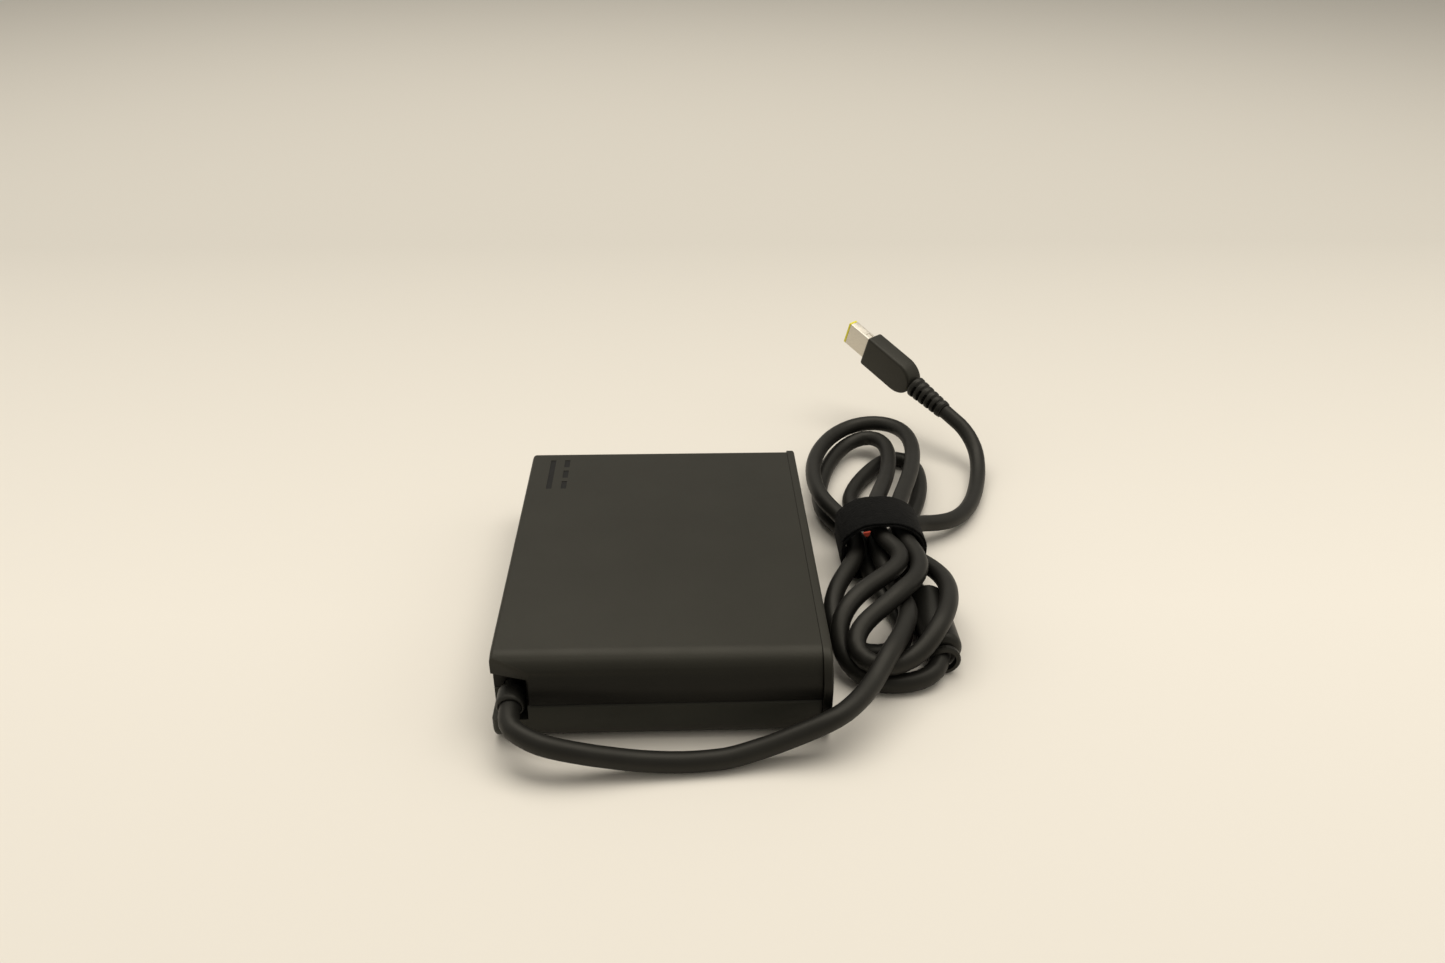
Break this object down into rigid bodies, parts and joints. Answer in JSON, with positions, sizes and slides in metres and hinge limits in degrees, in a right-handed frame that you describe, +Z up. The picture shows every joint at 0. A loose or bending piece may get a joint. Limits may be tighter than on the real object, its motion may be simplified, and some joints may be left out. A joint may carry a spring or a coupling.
{
  "type": "laptop power adapter",
  "caption": "Flat rounded laptop power brick with a three-pin mains inlet, a corner-exit output lead tied in a hank, and a slim rectangular DC plug.",
  "frame": {"origin": "centre of the case's footprint, on the surface it stands on", "axes": "+Z up, +Y along the case towards the mains inlet, +X to the side where the tied lead lies; the output lead leaves at the -X -Y corner"},
  "size_m": [0.1874, 0.2523, 0.0443],
  "materials": {
    "case": "fine moulded texture, dark warm grey",
    "rubber": "matt black",
    "label": "blank dark film",
    "inlet": "smooth black",
    "jacket": "satin black elastomer",
    "strap": "black hook-and-loop web",
    "tab": "orange-red end tab",
    "nickel": "satin nickel plate",
    "yellow": "yellow insulator",
    "board": "solder-masked laminate",
    "aluminium": "mill finish sheet",
    "ferrite": "sintered grey-black",
    "copper": "enamelled copper wire",
    "tape": "yellow polyester tape",
    "can": "shrink sleeve",
    "film": "red-brown case",
    "epoxy": "moulded black epoxy",
    "sheet": "insulating film",
    "brass": "plated contact",
    "glass": "clear tube",
    "blue": "blue varnish"
  },
  "bodies": {
    "root": {"top_cover": "case", "bottom_cover": "case", "end_cap": "case", "foot_front_left": "rubber", "foot_front_right": "rubber", "foot_rear_left": "rubber", "foot_rear_right": "rubber", "rating_label": "label", "ac_inlet_housing": "inlet", "cable_boot": "jacket", "output_lead": "jacket", "cord_hank": "jacket", "plug_tail": "jacket", "ferrite_bead": "jacket", "bead_collar": "jacket", "plug_relief": "jacket", "plug_housing": "jacket", "cord_strap": "strap", "strap_tab": "tab", "inlet_pin_live": "nickel", "inlet_pin_neutral": "nickel", "inlet_pin_earth": "nickel", "plug_shell": "nickel", "plug_insulator": "yellow", "plug_contact": "brass", "main_board": "board", "controller_board": "board", "heat_spreader_top": "aluminium", "heat_spreader_bottom": "aluminium", "primary_heatsink": "aluminium", "output_heatsink": "aluminium", "boost_choke_core": "ferrite", "transformer_core": "ferrite", "boost_choke_winding": "copper", "line_choke": "copper", "output_choke": "copper", "transformer_winding": "tape", "bulk_capacitor_1": "can", "bulk_capacitor_2": "can", "output_capacitor_1": "can", "output_capacitor_2": "can", "output_capacitor_3": "can", "x_capacitor": "film", "live_wire": "film", "output_wire_positive": "film", "bridge_rectifier": "epoxy", "power_transistor_1": "epoxy", "power_transistor_2": "epoxy", "output_rectifier": "epoxy", "optocoupler": "epoxy", "output_wire_negative": "epoxy", "insulation_sheet_top": "sheet", "insulation_sheet_bottom": "sheet", "fuse": "glass", "varistor": "blue", "neutral_wire": "blue"}
  },
  "joints": []
}
